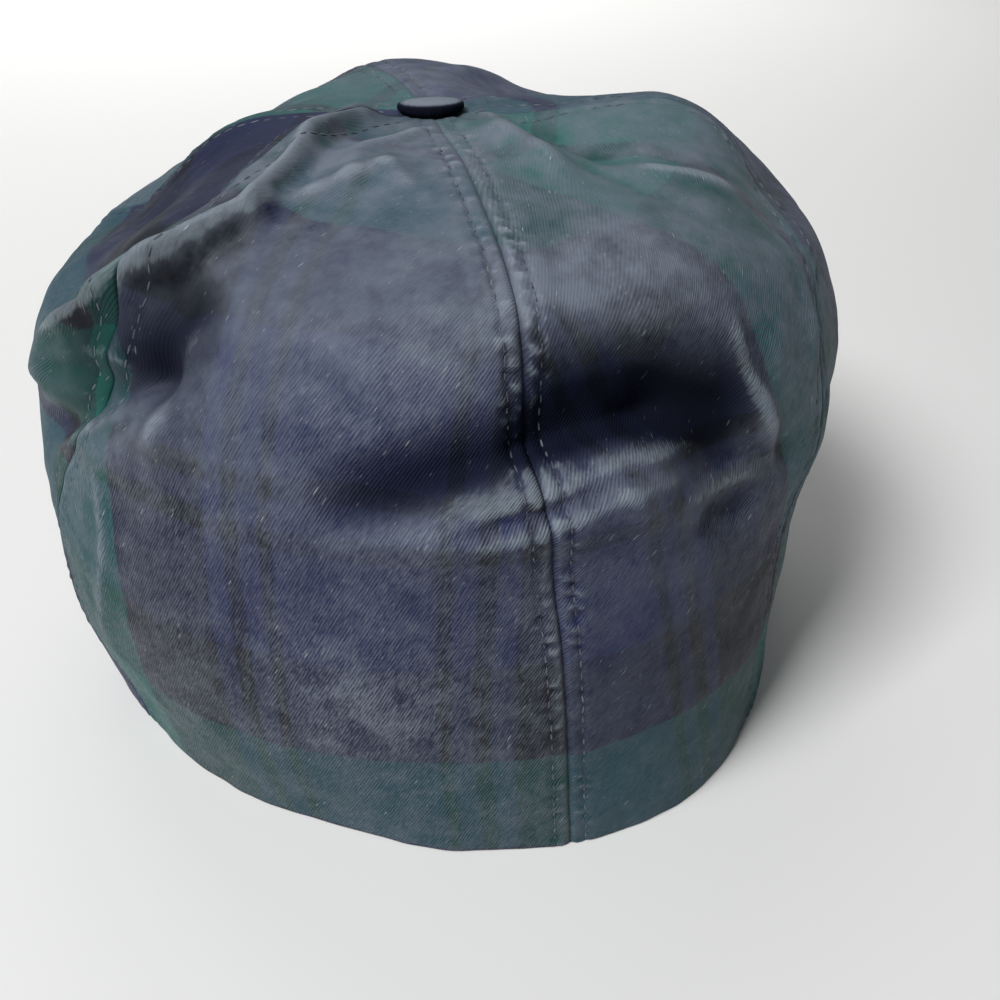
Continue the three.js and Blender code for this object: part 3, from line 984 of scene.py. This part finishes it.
def waxed_cloth(name, wax):
    """Dark tartan twill with a dull bloom of wax, pale worn crests, streaks and lint, with painted shade in
    its valleys and sags and painted light where it faces up.
    """
    material, graph = new_graph(name)
    x, y = thread_places(graph, "cloth")
    across, along = thread_places(graph, "ribs")
    solid = graph.add("ShaderNodeTexCoord").outputs["Object"]
    smudges = graph.noise(solid, 105.0, detail=3.0, roughness=0.65)
    rib, streak, fleck = twill(graph, x, y, across, along)
    crest_wear_and_painted_light = stored(graph, "crest_wear_and_painted_light")
    # painted shade: it darkens the colour, thins the bloom and the lint, and dims the specular and the
    # sheen
    painted_shade_and_dark_patches = stored(graph, "painted_shade_and_dark_patches")
    unshaded_share = graph.math("MULTIPLY_ADD", painted_shade_and_dark_patches, -0.95, 1.0)

    bloom = wax_bloom(graph, wax, solid, smudges, rib, streak, fleck, crest_wear_and_painted_light, unshaded_share)
    color = graph.mix(bloom, tartan(graph, x, y, rib, fleck), BLOOM_COLOR)
    # painted shade: mixes the colour towards the black yarn
    color = graph.mix(graph.math("MULTIPLY", painted_shade_and_dark_patches, 0.85), color, YARN_COLORS[BLACK])
    ragged = graph.math("MULTIPLY", graph.math("SUBTRACT", streak, 0.5), 1.4)
    # pale worn crests, and on the button's top a painted highlight
    worn_and_painted_highlight = graph.remap(graph.math("ADD", crest_wear_and_painted_light, ragged), 0.4, 1.4, 0.0, 0.55)
    color = graph.mix(worn_and_painted_highlight, color, CREST_AND_PAINTED_HIGHLIGHT_COLOR)
    lint = graph.math("MAXIMUM", *(dashes(graph, across, along, *row) for row in LINT))
    # the lint fades in the painted shade
    lint = graph.math("MULTIPLY", lint, graph.math("MULTIPLY_ADD", painted_shade_and_dark_patches, -0.7, 1.0))
    color = graph.mix(lint, color, LINT_COLOR)
    # the inner face is drawn darker, and the button's side gets painted shade
    inner_face_and_side_shade = graph.math("MULTIPLY", stored(graph, "inside_and_painted_shade"), 0.55)
    color = graph.mix(inner_face_and_side_shade, color, YARN_COLORS[BLACK])

    rough = graph.remap(streak, 0.3, 0.7, 0.62, 0.5)
    finish_graph(graph, {
        "Base Color": color,
        "Roughness": graph.math("ADD", rough, graph.remap(smudges, 0.3, 0.7, 0.06, -0.06)),
        "Normal": cloth_bump(graph, rib, streak, fleck, lint),
        # painted shade dims the specular and the sheen
        "Specular IOR Level": graph.math("MULTIPLY", unshaded_share, 0.18),
        "Sheen Weight": graph.math("MULTIPLY", unshaded_share, 0.07),
        "Sheen Roughness": 0.45,
        "Sheen Tint": SHEEN_COLOR,
    })
    return material


def thread_material():
    """Dark polished thread, paler in patches where it has rubbed."""
    material, graph = new_graph("topstitch_thread")
    solid = graph.add("ShaderNodeTexCoord").outputs["Object"]
    rubbed = graph.noise(solid, 160.0, detail=2.0)
    strand = graph.noise(solid, 2600.0, detail=1.0)
    bump = graph.add("ShaderNodeBump", {"Height": strand, "Distance": 0.1 * MM, "Strength": 0.5})
    finish_graph(graph, {
        "Base Color": graph.mix(graph.remap(rubbed, 0.4, 0.68), THREAD_COLOR, RUBBED_THREAD_COLOR),
        "Roughness": graph.remap(rubbed, 0.3, 0.7, 0.45, 0.65),
        "Normal": bump.outputs[0],
        "Sheen Weight": 0.2,
    })
    return material


def add_sockets(tree):
    """The inputs and the output of the stitches' node tree."""
    face = tree.interface
    face.new_socket("Geometry", in_out="INPUT", socket_type="NodeSocketGeometry")
    for name in ("Pitch", "Length", "Width", "Height"):
        face.new_socket(name, in_out="INPUT", socket_type="NodeSocketFloat")
    face.new_socket("Seed", in_out="INPUT", socket_type="NodeSocketInt")
    face.new_socket("Thread", in_out="INPUT", socket_type="NodeSocketMaterial")
    face.new_socket("Geometry", in_out="OUTPUT", socket_type="NodeSocketGeometry")


def stored_vector(graph, name):
    """A direction that is stored on the stitch lines' points."""
    return graph.add("GeometryNodeInputNamedAttribute", {"Name": name}, data_type="FLOAT_VECTOR").outputs[0]


def stitch_rotation(graph, seed):
    """Each stitch lies flat on the cloth and points along its row, a little askew."""
    upright = {"Vector": stored_vector(graph, "cloth_normal")}
    upright = graph.add("FunctionNodeAlignRotationToVector", upright, axis="Z")
    turn = {"Rotation": upright.outputs[0], "Vector": stored_vector(graph, "stitch_way")}
    turned = graph.add("FunctionNodeAlignRotationToVector", turn, axis="X", pivot_axis="Z")
    sway = graph.add("FunctionNodeRandomValue", {"Seed": seed}, data_type="FLOAT")
    sway.inputs[2].default_value = -STITCH_SWAY
    sway.inputs[3].default_value = STITCH_SWAY
    askew = graph.add("FunctionNodeAxisAngleToRotation", {"Axis": (0, 0, 1), "Angle": sway.outputs[1]})
    swayed = {"Rotation": turned.outputs[0], "Rotate By": askew.outputs[0]}
    return graph.add("FunctionNodeRotateRotation", swayed, rotation_space="LOCAL").outputs[0]


def stitch_tree():
    """Lays one small thread loop at each step along the stitch lines."""
    tree = bpy.data.node_groups.new("stitch_rows", "GeometryNodeTree")
    add_sockets(tree)
    graph = Graph(tree)
    given = graph.add("NodeGroupInput").outputs
    lines = graph.add("GeometryNodeMeshToCurve", {"Mesh": given["Geometry"]}).outputs[0]
    rows = {"Curve": lines, "Length": given["Pitch"]}
    points = graph.add("GeometryNodeCurveToPoints", rows, mode="LENGTH")
    ball = graph.add("GeometryNodeMeshUVSphere", {"Segments": 8, "Rings": 5, "Radius": 0.5})
    size = {"X": given["Length"], "Y": given["Width"], "Z": given["Height"]}
    laid = graph.add("GeometryNodeInstanceOnPoints", {
        "Points": points.outputs["Points"],
        "Instance": ball.outputs["Mesh"],
        "Rotation": stitch_rotation(graph, given["Seed"]),
        "Scale": graph.add("ShaderNodeCombineXYZ", size).outputs[0],
    })
    real = graph.add("GeometryNodeRealizeInstances", {"Geometry": laid.outputs[0]})
    smoothed = graph.add("GeometryNodeSetShadeSmooth", {"Geometry": real.outputs[0]})
    threaded = {"Geometry": smoothed.outputs[0], "Material": given["Thread"]}
    dressed = graph.add("GeometryNodeSetMaterial", threaded)
    graph.add("NodeGroupOutput", {"Geometry": dressed.outputs[0]})
    return tree


def stitch_row(index, side, level):
    """Points, cloth normals and directions of one stitch line, on one side of a seam."""
    panel = index if side == 1 else (index - 1) % len(SEAMS)
    aside = np.degrees(STITCH_SETBACK / radius_at(level) / seam_slant(index, level))
    azimuth = seam_azimuth(index, level) + side * aside
    if side == -1 and index == 0:
        azimuth = azimuth + FULL_TURN
    lift, _ = panel_lift(panel, azimuth, level)
    normal = normal_of(cloth_point, azimuth, level)
    row = cloth_point(azimuth, level) + normal * (lift + STITCH_STANDOFF)[:, None]
    way = np.gradient(row, axis=0)
    return to_frame(row), normal, way / np.linalg.norm(way, axis=1, keepdims=True)


def stitch_lines():
    """Points, edges, normals and directions of the two stitch lines beside each seam."""
    points, edges, normals, ways = [], [], [], []
    level = np.arange(STITCH_START, MERIDIAN * STITCH_END_LEVEL, ROW_STEP) / MERIDIAN
    for index in range(len(SEAMS)):
        for side in (1, -1):
            row, normal, way = stitch_row(index, side, level)
            first = len(points)
            points.extend(row)
            normals.extend(normal)
            ways.extend(way)
            edges.extend((first + i, first + i + 1) for i in range(len(row) - 1))
    return points, edges, normals, ways


def make_topstitching(material):
    """The stitch lines as edges, dressed with thread loops and turned into one plain mesh."""
    points, edges, normals, ways = stitch_lines()
    mesh = bpy.data.meshes.new("topstitching")
    mesh.from_pydata([tuple(p) for p in points], edges, [])
    for name, values in (("cloth_normal", normals), ("stitch_way", ways)):
        attribute = mesh.attributes.new(name, "FLOAT_VECTOR", "POINT")
        attribute.data.foreach_set("vector", np.asarray(values, np.float32).ravel())
    piece = bpy.data.objects.new("topstitching", mesh)
    bpy.context.scene.collection.objects.link(piece)
    modifier = piece.modifiers.new("stitch_rows", "NODES")
    modifier.node_group = stitch_tree()
    values = {
        "Pitch": STITCH_PITCH * MM,
        "Length": STITCH_LENGTH * MM,
        "Width": STITCH_WIDTH * MM,
        "Height": STITCH_HEIGHT * MM,
        "Seed": STITCH_SEED,
        "Thread": material,
    }
    for item in modifier.node_group.interface.items_tree:
        if item.in_out == "INPUT" and item.name in values:
            modifier[item.identifier] = values[item.name]
    depsgraph = bpy.context.evaluated_depsgraph_get()
    plain = bpy.data.meshes.new_from_object(piece.evaluated_get(depsgraph))
    piece.modifiers.clear()
    piece.data = plain
    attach(piece, "root")
    return piece


def button_outline():
    """Radius and height of the button's skin from its underside to its top."""
    flat = BUTTON_RADIUS - BUTTON_EDGE_RADIUS
    shoulder = BUTTON_HEIGHT - BUTTON_DOME - BUTTON_EDGE_RADIUS
    rows = [(radius, 0.0) for radius in np.linspace(BUTTON_UNDERSIDE_START, flat, BUTTON_EDGE_ROWS)]
    for first, last, middle in ((-80, 0, BUTTON_EDGE_RADIUS), (10, 80, shoulder)):
        for angle in np.radians(np.linspace(first, last, BUTTON_EDGE_ROWS)):
            radius = flat + BUTTON_EDGE_RADIUS * np.cos(angle)
            rows.append((radius, middle + BUTTON_EDGE_RADIUS * np.sin(angle)))
    for share in np.linspace(0.96, 0.08, BUTTON_TOP_ROWS):
        rows.append((flat * share, BUTTON_HEIGHT - BUTTON_DOME * share**2))
    return rows


def button_points():
    """Points of the skin, row by row, and then the middles of its underside and its top."""
    points = []
    angles = np.arange(BUTTON_SIDES) * 2 * np.pi / BUTTON_SIDES
    for radius, height in button_outline():
        gathered = BUTTON_GATHER_SHARE * (1 - height / BUTTON_HEIGHT)
        out = radius * (1 + gathered * np.cos(BUTTON_GATHERS * angles + BUTTON_GATHER_TURN))
        ring = [out * np.cos(angles), out * np.sin(angles), np.full(BUTTON_SIDES, height)]
        points.append(np.stack(ring, -1))
    points.append([(0, 0, 0), (0, 0, BUTTON_HEIGHT)])
    return np.concatenate(points)


def button_faces(rows):
    """Rings of four-sided faces, closed by a fan below and a fan above."""
    faces = []
    below = rows * BUTTON_SIDES
    above = below + 1
    last = below - BUTTON_SIDES
    for side in range(BUTTON_SIDES):
        after = (side + 1) % BUTTON_SIDES
        for start in range(0, last, BUTTON_SIDES):
            a, b = start + side, start + after
            faces.append((a, b, b + BUTTON_SIDES, a + BUTTON_SIDES))
        faces.append((below, after, side))
        faces.append((above, last + side, last + after))
    return faces


def make_button(material):
    """A covered button whose top slopes down towards the forehead, with a painted highlight on its top and
    painted shade on its side.
    """
    low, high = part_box("button")
    center = (low + high) / 2
    points = button_points()
    x, y, height = points.T
    climb = y + height + BUTTON_CLOTH_RISE
    lowered = height * (1 - BUTTON_FORWARD_SLOPE * (1 + y / BUTTON_RADIUS) / 2)
    places = np.array([center.x, center.y, low.z]) + np.stack([x, y, lowered], -1) * MM
    piece = mesh_object("covered_button", places, button_faces(len(points) // BUTTON_SIDES))

    # painted light: the top is painted pale as a highlight, and the side is painted dark as shade
    painted_top_light = smooth(*(BUTTON_HEIGHT - depth for depth in BUTTON_PAINTED_LIGHT_DEPTHS), height)
    set_threads(piece, x, climb, "cloth", 1)
    set_threads(piece, *rib_distances(x, climb, BUTTON_TWILL_CLIMB), "ribs", 1)
    set_floats(piece, "weave", np.full(len(points), BUTTON_WEAVE))
    set_floats(piece, "upward", painted_top_light)
    set_floats(piece, "crest_wear_and_painted_light", painted_top_light * 0.95)
    set_floats(piece, "painted_shade_and_dark_patches", 1 - painted_top_light)
    set_floats(piece, "inside_and_painted_shade", 1 - painted_top_light)
    set_floats(piece, "bloom", np.full(len(points), BUTTON_BLOOM))
    piece.data.materials.append(material)
    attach(piece, "root")
    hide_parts("button")
    return piece


def plain_material(name, color, roughness):
    material = bpy.data.materials.new(name)
    material.use_nodes = True
    shader = material.node_tree.nodes["Principled BSDF"]
    shader.inputs["Base Color"].default_value = color
    shader.inputs["Roughness"].default_value = roughness
    return material


def make_floor():
    half = FLOOR_HALF
    corners = [(-half, -half, 0), (half, -half, 0), (half, half, 0), (-half, half, 0)]
    floor = mesh_object("floor", corners, [(0, 1, 2, 3)])
    floor.data.materials.append(plain_material("pale_floor", FLOOR_COLOR, FLOOR_ROUGHNESS))


def make_light(name, place, aim, size, power, color=(1, 1, 1), spread=180):
    data = bpy.data.lights.new(name, "AREA")
    data.spread = math.radians(spread)
    data.shape = "SQUARE"
    data.size = size
    data.energy = power
    data.color = color
    light = bpy.data.objects.new(name, data)
    light.location = place
    light.rotation_euler = (Vector(aim) - Vector(place)).to_track_quat("-Z", "Y").to_euler()
    bpy.context.scene.collection.objects.link(light)


def make_lights():
    """A soft lamp above the cap, one for the floor behind it, and a faint even light from all around."""
    crown = (0, 0, 0.1)
    make_light("overhead", (-0.85, -0.62, 1.4), crown, 0.6, 30, LAMP_COLOR)
    make_light("backdrop", (0.1, 1.5, 1.5), (0.1, 1.4, 0), 1.5, 11, spread=85)
    world = bpy.data.worlds.new("studio")
    world.use_nodes = True
    background = world.node_tree.nodes["Background"]
    background.inputs["Color"].default_value = STUDIO_COLOR
    background.inputs["Strength"].default_value = STUDIO_STRENGTH
    bpy.context.scene.world = world
    bpy.context.scene.view_settings.view_transform = "Standard"


def make_camera():
    data = bpy.data.cameras.new("camera")
    data.lens = CAMERA_LENS
    data.sensor_width = SENSOR_WIDTH
    camera = bpy.data.objects.new("camera", data)
    turn = math.radians(CAMERA_TURN)
    pitch = math.radians(CAMERA_PITCH)
    level_way = math.cos(pitch)
    way = Vector((math.sin(turn) * level_way, math.cos(turn) * level_way, -math.sin(pitch)))
    camera.location = to_frame(CAMERA_PLACE)
    camera.rotation_euler = way.to_track_quat("-Z", "Y").to_euler()
    bpy.context.scene.collection.objects.link(camera)
    bpy.context.scene.camera = camera


make_camera()
make_lights()
make_floor()
cloth_material = waxed_cloth("waxed_tartan_cloth", CLOTH_WAX)
for panel_index in range(len(PANELS)):
    make_panel(panel_index, cloth_material)
make_button(waxed_cloth("button_cloth", BUTTON_WAX))
make_topstitching(thread_material())
